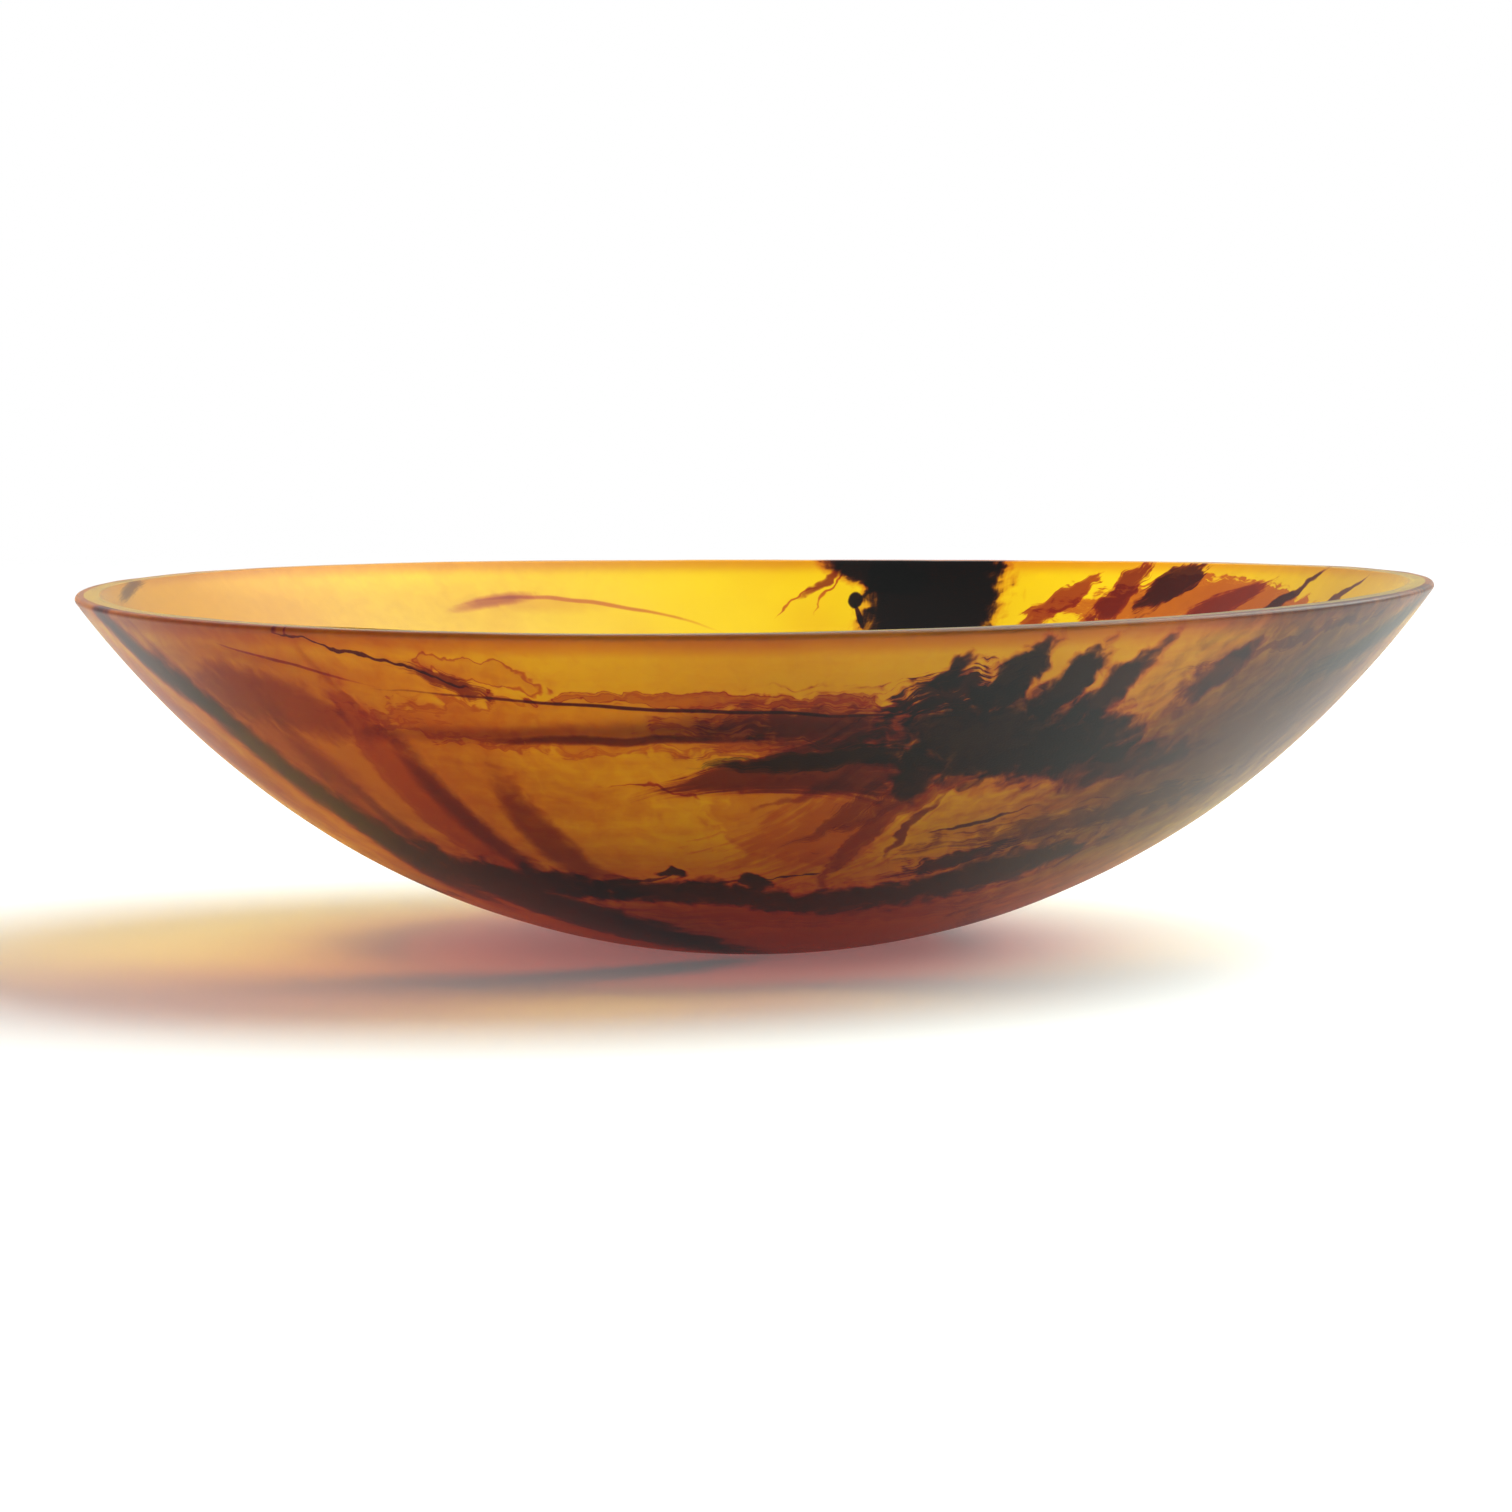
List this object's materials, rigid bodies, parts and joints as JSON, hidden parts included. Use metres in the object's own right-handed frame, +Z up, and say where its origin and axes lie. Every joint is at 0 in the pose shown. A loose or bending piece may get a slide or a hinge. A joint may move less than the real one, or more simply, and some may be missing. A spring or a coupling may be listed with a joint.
{
  "type": "art glass bowl",
  "caption": "Wide shallow bowl of satin amber glass on a small flat foot, with a flat ground lip and dark glass veils fused into its wall.",
  "frame": {"origin": "centre of the flat foot, on the surface that the bowl stands on", "axes": "+Z up out of the bowl's mouth, -Y towards the front with the large dark plume, +X to the right seen from the front"},
  "size_m": [0.35, 0.35, 0.092],
  "materials": {
    "amber_glass": "satin",
    "dark_glass": "satin"
  },
  "bodies": {
    "root": {"amber_bowl": "amber_glass", "front_plume": "dark_glass", "front_wing": "dark_glass", "front_band": "dark_glass", "left_ribbon": "dark_glass", "fan_stroke_upper": "dark_glass", "fan_stroke_lower": "dark_glass", "base_ribbon": "dark_glass", "right_streak": "dark_glass", "back_mass": "dark_glass", "back_flames": "dark_glass", "back_spike": "dark_glass", "back_comma": "dark_glass", "base_pool": "dark_glass"}
  },
  "joints": []
}
